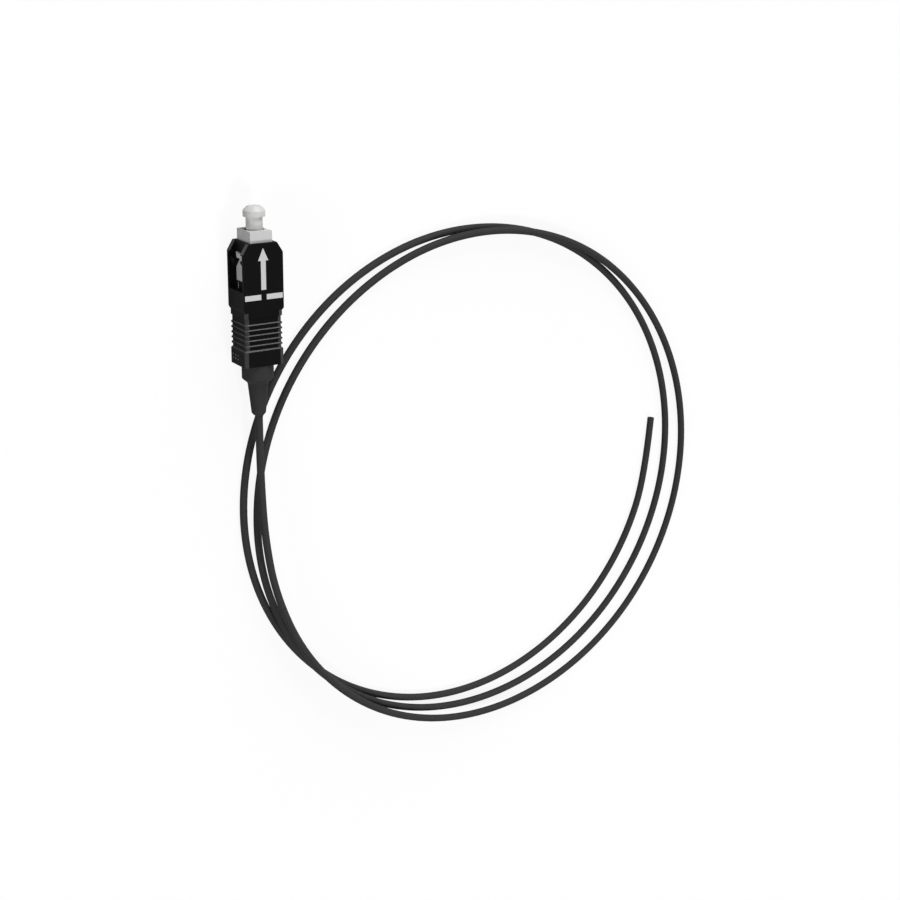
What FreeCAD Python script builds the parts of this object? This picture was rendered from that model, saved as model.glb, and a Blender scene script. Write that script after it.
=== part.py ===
import FreeCAD, Part
import math
import operator
import os
import Sketcher

# Fibre pigtail: a square push-pull plug with its dust cap on, and its cable in loose turns beside it.
# The plug's axis runs along Y, with the mating end at +Y and the plain wide face up. It lies on its key rail.
# Stations are measured along the axis from the housing's front face, positive towards the cable.

# Driving sizes in millimetres, and a few angles in degrees
SIZES = {
    # Outer housing
    "housing_width": 9.0,
    "housing_thickness": 7.4,
    "front_length": 13.65,
    "nose_cut_width": 1.3,
    "nose_cut_length": 2.1,
    "step_length": 0.5,
    "neck_inset": 0.22,
    "neck_length": 1.25,
    "corner_width": 0.8,
    "corner_depth": 0.3,
    "rib_pitch": 1.09,
    "rib_height": 0.2,
    "rib_bevel": 0.2,
    "rib_length": 0.5,
    "collar_length": 3.6,
    "collar_bevel": 0.3,
    "collar_swell": 0.14,
    "grip_wall": 0.5,
    "face_wall": 0.6,
    "rear_web": 4.2,
    "key_width": 2.0,
    "key_height": 0.9,
    "key_setback": 1.2,
    "key_length": 11.8,
    # Side slots, and the window in each slot's floor
    "slot_mouth": 4.9,
    "slot_width": 6.2,
    "slot_floor": 0.3,
    "slot_length": 9.9,
    "window_front": 2.3,
    "window_rear": 8.4,
    "window_width": 5.9,
    "ramp_gap": 2.94,
    "ramp_rise": 0.9,
    "ramp_front": 3.3,
    "ramp_crest": 0.8,
    "ramp_rear": 7.2,
    "slot_margin": 0.6,
    # Printed marks
    "mark_station": 10.5,
    "mark_length": 1.1,
    "mark_gap": 1.25,
    "mark_width": 3.62,
    "ink_height": 0.04,
    "arrow_station": 0.95,
    "arrow_length": 8.6,
    "arrow_width": 2.3,
    "arrow_head": 2.6,
    "arrow_shaft": 1.1,
    # Plug frame
    "frame_width": 4.95,
    "frame_body_width": 5.6,
    "frame_block_width": 6.44,
    "frame_reach": 2.3,
    "recess_diameter": 4.1,
    "recess_depth": 4.9,
    "seat_web": 1.0,
    "ear_length": 1.0,
    "ear_height": 0.7,
    "catch_length": 1.4,
    "catch_width": 2.2,
    "catch_setback": 2.2,
    "catch_grip": 0.7,
    # Ferrule unit
    "ferrule_diameter": 2.5,
    "ferrule_length": 10.5,
    "ferrule_reach": 2.0,
    "ferrule_chamfer": 0.45,
    "ferrule_bore": 0.2,
    "funnel_diameter": 0.72,
    "flange_floor": 1.2,
    "flange_tail": 3.6,
    "flange_tail_diameter": 2.4,
    "glass_diameter": 0.125,
    "buffer_diameter": 0.9,
    "guide_wall": 0.2,
    "guide_length": 11.0,
    # Spring
    "spring_length": 6.0,
    "spring_wire": 0.4,
    "spring_turns": 8,
    # Rear body, crimp and boot
    "insert_nose": 3.1,
    "insert_step": 0.15,
    "stem_diameter": 3.4,
    "stem_length": 6.7,
    "stem_groove": 0.12,
    "stem_grooves": 6,
    "rear_bore": 2.0,
    "yarn_setback": 1.2,
    "yarn_end_gap": 0.2,
    "yarn_thickness": 0.2,
    "jacket_gap": 0.4,
    "crimp_setback": 1.0,
    "crimp_wall": 0.24,
    "crimp_tail": 3.2,
    "crimp_tail_wall": 0.5,
    "boot_setback": 2.0,
    "boot_wall": 0.42,
    "boot_flange_diameter": 6.68,
    "boot_flange_length": 3.1,
    "boot_shoulder_length": 0.9,
    "boot_shoulder_diameter": 4.7,
    "boot_root_length": 0.3,
    "boot_root_diameter": 4.36,
    "boot_taper_length": 6.35,
    "boot_end_diameter": 3.04,
    "boot_nose_length": 0.55,
    "boot_lip": 0.25,
    # Dust cap
    "cap_neck_diameter": 3.44,
    "cap_head_diameter": 4.58,
    "cap_slope_width": 0.82,
    "cap_slope_length": 0.86,
    "cap_rounding": 0.15,
    "cap_end_gap": 0.25,
    "cap_end_wall": 2.5,
    "cap_head_length": 2.1,
    # Travel and clearances
    "grip_travel": 1.2,
    "ferrule_travel": 1.0,
    "slide_clearance": 0.08,
    "stop_gap": 0.1,
    "seat_gap": 0.03,
    "bore_clearance": 0.03,
    "float_clearance": 0.12,
    # Cable, and its loose turns on the surface that the plug lies on
    "cable_diameter": 1.65,
    "crossing_gap": 0.25,
    "coil_radius": 59.4,
    "coil_shrink": 1.05,
    "coil_centre_x": 62.95,
    "coil_centre_y": -49.5,
    "coil_drift_x": -4.25,
    "coil_drift_y": 2.5,
    "coil_lean_x": -0.635,
    "coil_lean_y": 0.385,
}

doc = FreeCAD.newDocument("fibre_pigtail")
sheet = doc.addObject("Spreadsheet::Sheet", "Sizes")
for row, (alias, number) in enumerate(SIZES.items(), start=1):
    sheet.set(f"A{row}", alias)
    sheet.set(f"B{row}", str(number))
    sheet.setAlias(f"B{row}", alias)
doc.recompute()


class Size:
    """A length that knows both its value and the expression that ties it to the sheet."""

    def __init__(self, value, text):
        self.value = value
        self.text = text

    def join(self, other, sign, work):
        other = as_size(other)
        return Size(work(self.value, other.value), f"({self.text} {sign} {other.text})")

    def __add__(self, other):
        return self.join(other, "+", operator.add)

    def __sub__(self, other):
        return self.join(other, "-", operator.sub)

    def __mul__(self, other):
        return self.join(other, "*", operator.mul)

    def __truediv__(self, other):
        return self.join(other, "/", operator.truediv)

    def __neg__(self):
        return Size(-self.value, f"(0 - {self.text})")


def as_size(number):
    return number if isinstance(number, Size) else Size(number, str(number))


def size(alias):
    return Size(float(sheet.get(alias)), f"Sizes.{alias}")


# Stations and half sizes that several pieces share
gap = size("seat_gap")
slide_gap = size("slide_clearance")
grip_travel = size("grip_travel")
cable_radius = size("cable_diameter") / 2
half_width = size("housing_width") / 2
half_thickness = size("housing_thickness") / 2
axis_height = half_thickness + size("key_height")

frame_half_x = size("frame_width") / 2
frame_half_z = half_thickness - size("face_wall") - slide_gap
cavity_half_z = half_thickness - size("face_wall")
nose_channel_x = frame_half_x + slide_gap
body_half_x = size("frame_body_width") / 2
body_channel_x = body_half_x + slide_gap
block_half_x = size("frame_block_width") / 2
cavity_half_x = block_half_x + slide_gap
slot_floor_x = body_channel_x + size("slot_floor")

ferrule_radius = size("ferrule_diameter") / 2
ferrule_tip = -(size("frame_reach") + size("ferrule_reach"))
ferrule_end = ferrule_tip + size("ferrule_length")
recess_radius = size("recess_diameter") / 2
recess_end = size("recess_depth") - size("frame_reach")
seat = recess_end + size("seat_web")
flange_front = seat + gap
flange_rear = ferrule_end + size("flange_floor")
flange_corner = recess_radius - size("float_clearance")
tail_end = flange_rear + size("flange_tail")
buffer_radius = size("buffer_diameter") / 2
guide_bore = buffer_radius + size("bore_clearance")
guide_radius = guide_bore + size("guide_wall")

spring_front = flange_rear + gap
stop_face = spring_front + size("spring_length") + gap
housing_step = size("front_length") + size("step_length")
neck_end = housing_step + size("neck_length")
insert_length = size("catch_setback") + size("catch_length") + size("insert_nose")
frame_end = stop_face + insert_length
web_front = frame_end + grip_travel + size("stop_gap")
housing_end = web_front + size("rear_web")
collar_front = housing_end - size("collar_length")
neck_half_x = half_width - size("neck_inset")
neck_half_z = half_thickness - size("neck_inset")
insert_radius = recess_radius + size("insert_step")
insert_fit = insert_radius - size("bore_clearance")
core_half_x = neck_half_x - size("rib_height")
core_half_z = neck_half_z - size("rib_height")
inner_half_z = core_half_z - size("grip_wall")

stem_radius = size("stem_diameter") / 2
stem_end = frame_end + size("stem_length")
yarn_radius = stem_radius + gap + size("yarn_thickness")
crimp_inner = yarn_radius + gap
crimp_radius = crimp_inner + size("crimp_wall")
jacket_front = stem_end + size("jacket_gap")
crimp_tail_radius = cable_radius + gap + size("crimp_tail_wall")
crimp_shoulder = stem_end + gap
crimp_end = jacket_front + size("crimp_tail")
boot_inner = crimp_radius + gap
boot_sleeve_radius = boot_inner + size("boot_wall")
boot_front = frame_end + size("boot_setback")
flange_station = housing_end + gap
boot_flange_end = flange_station + size("boot_flange_length")
boot_shoulder_end = boot_flange_end + size("boot_shoulder_length")
boot_root_end = boot_shoulder_end + size("boot_root_length")
boot_taper_end = boot_root_end + size("boot_taper_length")
boot_tip = boot_taper_end + size("boot_nose_length")

cap_bore_end = ferrule_tip - size("cap_end_gap")
cap_top = cap_bore_end - size("cap_end_wall")
cap_skirt = recess_end - size("ferrule_travel") - size("stop_gap")

# The origin lies under the middle of the plug's length, on the surface that the key rail rests on.
plug_centre = (boot_tip + cap_top) / 2


def along(station):
    """The Y of a station in a piece's own frame."""
    return -station


def place(piece, station=None):
    """Lifts a piece from the axis frame to its place above the resting surface."""
    middle = plug_centre if station is None else plug_centre - station
    piece.setExpression("Placement.Base.y", middle.text)
    piece.setExpression("Placement.Base.z", axis_height.text)


def new_body(name):
    body = doc.addObject("PartDesign::Body", name)
    body.Label = name
    place(body)
    return body


def new_sketch(body, role, name, offset=None):
    """A sketch on one of the body's origin planes, moved along the plane's normal by an offset."""
    sketch = body.newObject("Sketcher::SketchObject", name)
    plane = next(item for item in body.Origin.OriginFeatures if item.Role == role)
    sketch.AttachmentSupport = [(plane, "")]
    sketch.MapMode = "FlatFace"
    if offset is not None:
        sketch.setExpression("AttachmentOffset.Base.z", offset.text)
    return sketch


def bind_corner(sketch, line, u, v):
    """Ties a line's start to the sheet along both sketch axes."""
    for kind, amount, axis in (("DistanceX", u, -2), ("DistanceY", v, -1)):
        amount = as_size(amount)
        if amount.text == "0":
            sketch.addConstraint(Sketcher.Constraint("PointOnObject", line, 1, axis))
        else:
            index = sketch.addConstraint(
                Sketcher.Constraint(kind, -1, 1, line, 1, amount.value)
            )
            sketch.setExpression(f"Constraints[{index}]", amount.text)


def outline(body, role, name, loops, offset=None):
    """Closed outlines of straight lines whose corners are bound to the sheet."""
    sketch = new_sketch(body, role, name, offset)
    for corners in loops:
        first = sketch.GeometryCount
        points = [
            FreeCAD.Vector(as_size(u).value, as_size(v).value, 0) for u, v in corners
        ]
        for start, end in zip(points, points[1:] + points[:1]):
            sketch.addGeometry(Part.LineSegment(start, end), False)
        count = len(corners)
        for step in range(count):
            following = first + (step + 1) % count
            sketch.addConstraint(Sketcher.Constraint("Coincident", first + step, 2, following, 1))
        for step, (u, v) in enumerate(corners):
            bind_corner(sketch, first + step, u, v)
    doc.recompute()
    return sketch


def circle(body, name, radius, station):
    """A circle about the axis, square to it at a station."""
    sketch = new_sketch(body, "XZ_Plane", name, station)
    sketch.addGeometry(Part.Circle(FreeCAD.Vector(), FreeCAD.Vector(0, 0, 1), radius.value), False)
    sketch.addConstraint(Sketcher.Constraint("Coincident", 0, 3, -1, 1))
    index = sketch.addConstraint(Sketcher.Constraint("Radius", 0, radius.value))
    sketch.setExpression(f"Constraints[{index}]", radius.text)
    doc.recompute()
    return sketch


def box_corners(half_u, half_v):
    return [(-half_u, -half_v), (half_u, -half_v), (half_u, half_v), (-half_u, half_v)]


def octagon_corners(half_x, half_z):
    """A rectangle with its corners cut, as the neck, the grip and the collar have."""
    inner_x = half_x - size("corner_width")
    inner_z = half_z - size("corner_depth")
    return [
        (-inner_x, -half_z), (inner_x, -half_z), (half_x, -inner_z), (half_x, inner_z),
        (inner_x, half_z), (-inner_x, half_z), (-half_x, inner_z), (-half_x, -inner_z),
    ]


def mirrored(corners):
    """The loop and its mirror image, turned the same way round."""
    return [corners, [(-as_size(u), v) for u, v in reversed(corners)]]


def pad(body, sketch, length, name):
    """Adds material from the sketch towards the cable, or along the sketch's normal."""
    feature = body.newObject("PartDesign::Pad", name)
    feature.Profile = sketch
    feature.setExpression("Length", length.text)
    doc.recompute()
    return feature


def pad_both_ways(body, sketch, length, name):
    feature = pad(body, sketch, length, name)
    feature.Midplane = True
    doc.recompute()
    return feature


def cut(body, sketch, length, name, both_ways=False):
    """Takes material away along the sketch's normal, and checks that it did."""
    before = body.Shape.Volume
    feature = body.newObject("PartDesign::Pocket", name)
    feature.Profile = sketch
    feature.setExpression("Length", length.text)
    feature.Reversed = not both_ways
    feature.Midplane = both_ways
    doc.recompute()
    if body.Shape.Volume >= before:
        raise RuntimeError(f"{name} cuts nothing")
    return feature


def loft(body, start, end, name):
    feature = body.newObject("PartDesign::AdditiveLoft", name)
    feature.Profile = start
    feature.Sections = [end]
    feature.Ruled = True
    doc.recompute()
    return feature


def turn(body, name, profile):
    """A turned solid: the profile's corners are pairs of radius and station."""
    corners = [(radius, along(as_size(station))) for radius, station in profile]
    sketch = outline(body, "XY_Plane", f"{name}_profile", [corners])
    feature = body.newObject("PartDesign::Revolution", name)
    feature.Profile = sketch
    feature.ReferenceAxis = (sketch, ["V_Axis"])
    feature.Angle = 360
    doc.recompute()
    return feature


def groove(body, name, profile):
    """Turns a profile of radius and station pairs out of the body."""
    before = body.Shape.Volume
    corners = [(radius, along(as_size(station))) for radius, station in profile]
    sketch = outline(body, "XY_Plane", f"{name}_profile", [corners])
    feature = body.newObject("PartDesign::Groove", name)
    feature.Profile = sketch
    feature.ReferenceAxis = (sketch, ["V_Axis"])
    feature.Angle = 360
    doc.recompute()
    if body.Shape.Volume >= before:
        raise RuntimeError(f"{name} cuts nothing")
    return feature


def round_rim(body, radius, station, rounding, name):
    """Rounds the circular edge of a turned piece that has this radius at this station."""
    last = body.Tip
    rims = [
        f"Edge{index}" for index, edge in enumerate(last.Shape.Edges, start=1)
        if isinstance(edge.Curve, Part.Circle) and abs(edge.Curve.Radius - radius.value) < 1e-4
        and abs(edge.Curve.Center.y - along(station).value) < 1e-4
    ]
    fillet = body.newObject("PartDesign::Fillet", name)
    fillet.Base = (last, rims)
    fillet.setExpression("Radius", rounding.text)
    doc.recompute()
    return fillet


def repeat_along(body, features, sketch, axis, pitch, count, name):
    """Repeats features towards the cable, along an axis of one of their sketches."""
    pattern = body.newObject("PartDesign::LinearPattern", name)
    pattern.Originals = features
    pattern.Direction = (sketch, [axis])
    pattern.Reversed = axis == "V_Axis"
    pattern.Occurrences = count
    pattern.setExpression("Length", (pitch * (count - 1)).text)
    body.Tip = pattern
    doc.recompute()
    return pattern


def make_outer_housing():
    body = new_body("outer_housing")
    beyond = half_width * 2
    nose_x = half_width - size("nose_cut_width")
    plan = [
        (-nose_x, 0), (nose_x, 0), (half_width, along(size("nose_cut_length"))),
        (half_width, along(size("front_length"))), (-half_width, along(size("front_length"))),
        (-half_width, along(size("nose_cut_length"))),
    ]
    pad_both_ways(body, outline(body, "XY_Plane", "front_plan", [plan]), half_thickness * 2, "front_block")

    front_section = outline(body, "XZ_Plane", "front_section", [box_corners(half_width, half_thickness)],
                            size("front_length"))
    step_section = outline(body, "XZ_Plane", "step_section", [box_corners(neck_half_x, neck_half_z)],
                           housing_step)
    loft(body, front_section, step_section, "step")
    neck_section = outline(body, "XZ_Plane", "neck_section", [octagon_corners(neck_half_x, neck_half_z)],
                           housing_step)
    pad(body, neck_section, size("neck_length"), "neck")

    core = octagon_corners(core_half_x, core_half_z)
    core_section = outline(body, "XZ_Plane", "core_section", [core], neck_end)
    pad(body, core_section, collar_front - neck_end, "grip_core")
    bevel = size("collar_bevel")
    collar_foot = outline(body, "XZ_Plane", "collar_foot", [core], collar_front)
    collar = octagon_corners(neck_half_x + size("collar_swell"), neck_half_z)
    collar_section = outline(body, "XZ_Plane", "collar_section", [collar], collar_front + bevel)
    loft(body, collar_foot, collar_section, "collar_bevel")
    pad(body, collar_section, size("collar_length") - bevel, "collar")

    # Ribs lead up to the collar, and as many stand there as the grip has room for.
    pitch = size("rib_pitch")
    count = int((collar_front - neck_end - size("rib_length")).value / pitch.value)
    first_rib = collar_front - pitch * count
    rib = octagon_corners(neck_half_x, neck_half_z)
    rib_foot = outline(body, "XZ_Plane", "rib_foot", [core], first_rib)
    rib_section = outline(body, "XZ_Plane", "rib_section", [rib], first_rib + size("rib_bevel"))
    rib_bevel = loft(body, rib_foot, rib_section, "rib_bevel")
    rib_land = pad(body, rib_section, size("rib_length") - size("rib_bevel"), "rib_land")
    repeat_along(body, [rib_bevel, rib_land], rib_section, "N_Axis", pitch, count, "ribs")

    # Key rail under the hidden wide face
    key_half = size("key_width") / 2
    key_top = -(half_thickness - size("face_wall") / 2)
    key = [(-key_half, -axis_height), (key_half, -axis_height), (key_half, key_top), (-key_half, key_top)]
    key_sketch = outline(body, "XZ_Plane", "key_section", [key], size("key_setback"))
    pad(body, key_sketch, size("key_length"), "key_rail")

    # Side slots are open at the front, with two wedge ramps standing in each.
    mouth = [
        (slot_floor_x, half_width), (beyond, half_width), (beyond, along(size("window_front"))),
        (slot_floor_x, along(size("window_front"))),
    ]
    mouth_sketch = outline(body, "XY_Plane", "slot_mouths", mirrored(mouth))
    cut(body, mouth_sketch, size("slot_mouth"), "slot_mouth_cut", both_ways=True)
    ramp_top = slot_floor_x + size("ramp_rise")
    slot = [
        (slot_floor_x, along(size("window_front"))), (beyond, along(size("window_front"))),
        (beyond, along(size("slot_length"))), (slot_floor_x, along(size("slot_length"))),
        (slot_floor_x, along(size("ramp_rear"))),
        (ramp_top, along(size("ramp_front") + size("ramp_crest"))),
        (ramp_top, along(size("ramp_front"))), (slot_floor_x, along(size("ramp_front"))),
    ]
    slot_sketch = outline(body, "XY_Plane", "slot_profiles", mirrored(slot))
    cut(body, slot_sketch, size("slot_width"), "slot_cut", both_ways=True)

    # The window is pinched between the ramps, and the frame shows through it.
    wide = size("window_width") / 2
    narrow = size("ramp_gap") / 2
    pinch_front = along(size("ramp_front") + size("ramp_crest") / 2)
    pinch_rear = along(size("ramp_front") + size("ramp_crest"))
    leaf = (size("ramp_front") + size("ramp_crest") + size("ramp_rear")) / 2
    window = [
        (along(size("window_front")), -wide), (along(size("ramp_front")), -wide), (pinch_front, -narrow),
        (pinch_rear, -narrow), (along(leaf), -wide), (along(size("window_rear")), -wide),
        (along(size("window_rear")), wide), (along(leaf), wide), (pinch_rear, narrow),
        (pinch_front, narrow), (along(size("ramp_front")), wide), (along(size("window_front")), wide),
    ]
    window_sketch = outline(body, "YZ_Plane", "window_outline", [window])
    cut(body, window_sketch, beyond * 2, "window_cut", both_ways=True)

    # Cavity for the frame, its wider rear part, and the bore for the boot
    nose_channel = outline(body, "XZ_Plane", "nose_channel_section",
                           [box_corners(nose_channel_x, cavity_half_z)], -size("stop_gap"))
    cut(body, nose_channel, size("window_front") + size("stop_gap") * 2, "nose_channel_cut")
    channel = outline(body, "XZ_Plane", "channel_section", [box_corners(body_channel_x, cavity_half_z)],
                      size("window_front"))
    cut(body, channel, housing_step - size("window_front"), "channel_cut")
    room_front = size("slot_length") + size("slot_margin")
    wide_room = outline(body, "XZ_Plane", "wide_room_section", [box_corners(cavity_half_x, cavity_half_z)],
                        room_front)
    cut(body, wide_room, housing_step - room_front, "wide_room_cut")
    rear_room = outline(body, "XZ_Plane", "rear_room_section", [box_corners(cavity_half_x, inner_half_z)],
                        housing_step)
    cut(body, rear_room, web_front - housing_step, "rear_room_cut")
    boot_bore = circle(body, "boot_bore_section", boot_sleeve_radius + size("float_clearance") * 2, web_front)
    cut(body, boot_bore, size("rear_web") + size("stop_gap"), "boot_bore_cut")
    return body


def make_plug_frame():
    body = new_body("plug_frame")
    room_front = size("slot_length") + size("slot_margin")
    thin_start = housing_step - grip_travel - size("stop_gap")
    block_front = room_front + grip_travel + size("stop_gap")
    block_half_z = inner_half_z - slide_gap
    shoulder = size("window_front") + size("stop_gap")
    nose = outline(body, "XZ_Plane", "nose_section", [box_corners(frame_half_x, frame_half_z)],
                   -size("frame_reach"))
    pad(body, nose, shoulder + size("frame_reach"), "nose")
    waist = outline(body, "XZ_Plane", "waist_section", [box_corners(body_half_x, frame_half_z)], shoulder)
    pad(body, waist, thin_start - shoulder, "waist")
    spine = outline(body, "XZ_Plane", "spine_section", [box_corners(body_half_x, block_half_z)], shoulder)
    pad(body, spine, frame_end - shoulder, "spine")
    rear = outline(body, "XZ_Plane", "block_section", [box_corners(block_half_x, block_half_z)], block_front)
    pad(body, rear, frame_end - block_front, "rear_block")

    # Side ears that the mating part's hooks close behind
    ear_half = size("ramp_gap") / 2 - size("float_clearance")
    ear = outline(body, "XZ_Plane", "ear_section", [box_corners(body_half_x + size("ear_height"), ear_half)],
                  shoulder)
    pad(body, ear, size("ear_length"), "ears")

    # Windows that the rear body's catches snap into
    catch_rear = frame_end - size("catch_setback")
    catch_front = catch_rear - size("catch_length")
    catch_half = size("catch_width") / 2
    windows = [(along(catch_front), -catch_half), (along(catch_rear), -catch_half),
               (along(catch_rear), catch_half), (along(catch_front), catch_half)]
    window_sketch = outline(body, "YZ_Plane", "catch_window_outline", [windows])
    cut(body, window_sketch, block_half_x * 3, "catch_windows", both_ways=True)

    hole = ferrule_radius + size("float_clearance")
    mouth = -size("frame_reach") - size("stop_gap")
    groove(body, "bore", [
        (0, mouth), (recess_radius, mouth),
        (recess_radius, recess_end), (hole, recess_end), (hole, seat), (recess_radius, seat),
        (recess_radius, stop_face - size("stop_gap")), (insert_radius, stop_face - size("stop_gap")),
        (insert_radius, frame_end + size("stop_gap")), (0, frame_end + size("stop_gap")),
    ])
    return body


def make_ferrule():
    body = new_body("ferrule")
    chamfer = size("ferrule_chamfer")
    bore = size("ferrule_bore") / 2
    funnel = size("funnel_diameter") / 2
    turn(body, "ferrule_turned", [
        (bore, ferrule_tip), (ferrule_radius - chamfer, ferrule_tip), (ferrule_radius, ferrule_tip + chamfer),
        (ferrule_radius, ferrule_end), (funnel, ferrule_end), (bore, ferrule_end - funnel * 2),
    ])
    return body


def make_ferrule_flange():
    body = new_body("ferrule_flange")
    hexagon = [
        (flange_corner * round(math.cos(math.radians(60 * side)), 6),
         flange_corner * round(math.sin(math.radians(60 * side)), 6))
        for side in range(6)
    ]
    collar = outline(body, "XZ_Plane", "hexagon_section", [hexagon], flange_front)
    pad(body, collar, flange_rear - flange_front, "hexagonal_collar")
    tail = circle(body, "tail_section", size("flange_tail_diameter") / 2, flange_rear)
    pad(body, tail, size("flange_tail"), "tail")
    cup = ferrule_radius + size("bore_clearance")
    passage = buffer_radius + size("bore_clearance")
    guide_seat = guide_radius + size("bore_clearance")
    guide_front = flange_rear - size("flange_floor") / 2
    mouth = flange_front - size("stop_gap")
    groove(body, "cup_and_bore", [
        (0, mouth), (cup, mouth), (cup, ferrule_end + gap),
        (passage, ferrule_end + gap), (passage, guide_front), (guide_seat, guide_front),
        (guide_seat, tail_end + size("stop_gap")), (0, tail_end + size("stop_gap")),
    ])
    return body


def make_guide_tube():
    body = new_body("guide_tube")
    front = flange_rear - size("flange_floor") / 2 + gap
    end = front + size("guide_length")
    turn(body, "guide_tube_turned", [
        (guide_bore, front), (guide_radius, front), (guide_radius, end), (guide_bore, end),
    ])
    return body


def make_fibres():
    """The bare glass in the ferrule, and the buffered fibre from there back into the cable."""
    glass_end = ferrule_end + gap
    buffer_end = jacket_front + size("ferrule_travel") * 2
    for name, radius, front, end in (
        ("optical_fibre", size("glass_diameter") / 2, ferrule_tip, glass_end),
        ("buffered_fibre", buffer_radius, glass_end, buffer_end),
    ):
        rod = doc.addObject("Part::Cylinder", name)
        rod.Label = name
        rod.Placement = FreeCAD.Placement(FreeCAD.Vector(), FreeCAD.Rotation(FreeCAD.Vector(1, 0, 0), 90))
        rod.setExpression("Radius", radius.text)
        rod.setExpression("Height", (end - front).text)
        place(rod, front)
    return buffer_end


def make_rear_body():
    body = new_body("rear_body")
    bore = size("rear_bore") / 2
    turn(body, "stop_turned", [
        (bore, stop_face), (insert_fit, stop_face), (insert_fit, frame_end), (stem_radius, frame_end),
        (stem_radius, stem_end), (bore, stem_end),
    ])
    catch_rear = frame_end - size("catch_setback") - size("float_clearance")
    catch_half = size("catch_width") / 2 - size("float_clearance")
    catch_front = catch_rear - size("catch_length") + size("float_clearance") * 2
    for side, sign in (("left", -1), ("right", 1)):
        near = insert_fit * (0.9 * sign)
        far = (insert_fit + size("catch_grip")) * sign
        corners = [(near, -catch_half), (far, -catch_half), (far, catch_half), (near, catch_half)]
        sketch = outline(body, "XZ_Plane", f"catch_{side}_section", [corners], catch_front)
        pad(body, sketch, catch_rear - catch_front, f"catch_{side}")
    count = int(size("stem_grooves").value)
    pitch = size("stem_length") / (count + 2)
    ring_front = frame_end + pitch * 1.5
    ring_rear = frame_end + pitch * 2
    ring_floor = stem_radius - size("stem_groove")
    ring = [
        (ring_floor, ring_front), (stem_radius * 2, ring_front),
        (stem_radius * 2, ring_rear), (ring_floor, ring_rear),
    ]
    first = groove(body, "stem_groove_turned", ring)
    repeat_along(body, [first], first.Profile[0], "V_Axis", pitch, count, "stem_grooves")
    return body


def make_aramid_yarn():
    body = new_body("aramid_yarn")
    inner = stem_radius + gap
    front = frame_end + size("yarn_setback")
    end = stem_end - size("yarn_end_gap")
    turn(body, "yarn_turned", [(inner, front), (yarn_radius, front), (yarn_radius, end), (inner, end)])
    return body


def make_crimp_sleeve():
    body = new_body("crimp_sleeve")
    front = frame_end + size("crimp_setback")
    throat = cable_radius + gap
    shoulder_end = crimp_shoulder + (crimp_radius - crimp_tail_radius)
    turn(body, "crimp_turned", [
        (crimp_inner, front), (crimp_radius, front), (crimp_radius, crimp_shoulder),
        (crimp_tail_radius, shoulder_end), (crimp_tail_radius, crimp_end), (throat, crimp_end),
        (throat, crimp_shoulder), (crimp_inner, crimp_shoulder),
    ])
    return body


def make_boot():
    body = new_body("boot")
    flange_radius = size("boot_flange_diameter") / 2
    tail_room = crimp_tail_radius + gap
    room_end = crimp_shoulder + (crimp_radius - crimp_tail_radius) + gap
    throat = cable_radius + gap
    lip = throat + size("boot_lip")
    turn(body, "boot_turned", [
        (boot_inner, boot_front), (boot_sleeve_radius, boot_front), (boot_sleeve_radius, flange_station),
        (flange_radius, flange_station), (flange_radius, boot_flange_end),
        (size("boot_shoulder_diameter") / 2, boot_shoulder_end),
        (size("boot_root_diameter") / 2, boot_root_end), (size("boot_end_diameter") / 2, boot_taper_end),
        (lip, boot_tip), (throat, boot_tip), (throat, crimp_end + gap), (tail_room, crimp_end + gap),
        (tail_room, room_end), (boot_inner, crimp_shoulder + gap),
    ])
    return body


def make_spring():
    """A helical compression spring, swept from its sizes in the sheet."""
    wire = size("spring_wire").value
    mean = recess_radius.value - 2 * size("float_clearance").value - wire / 2
    length = size("spring_length").value - wire
    turns = size("spring_turns").value
    helix = Part.makeHelix(length / turns, length, mean)
    rim = Part.Circle(FreeCAD.Vector(mean, 0, 0), FreeCAD.Vector(0, 1, 0), wire / 2)
    coil = Part.Wire(helix).makePipeShell([Part.Wire(rim.toShape())], True, True)
    spring = doc.addObject("Part::Feature", "spring")
    spring.Label = "spring"
    spring.Shape = coil
    start = plug_centre.value - spring_front.value - wire / 2
    turned = FreeCAD.Rotation(FreeCAD.Vector(1, 0, 0), 90)
    spring.Placement = FreeCAD.Placement(FreeCAD.Vector(0, start, axis_height.value), turned)


def make_dust_cap():
    body = new_body("dust_cap")
    neck = size("cap_neck_diameter") / 2
    head = size("cap_head_diameter") / 2
    bore = ferrule_radius + size("bore_clearance")
    head_base = cap_top + size("cap_head_length")
    slope_top = head - size("cap_slope_width")
    slope_base = cap_top + size("cap_slope_length")
    turn(body, "cap_turned", [
        (0, cap_top), (slope_top, cap_top), (head, slope_base), (head, head_base), (neck, head_base),
        (neck, cap_skirt),
        (bore, cap_skirt), (bore, cap_bore_end), (0, cap_bore_end),
    ])
    round_rim(body, slope_top, cap_top, size("cap_rounding"), "top_rounding")
    round_rim(body, head, slope_base, size("cap_rounding"), "head_rounding")
    return body


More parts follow.
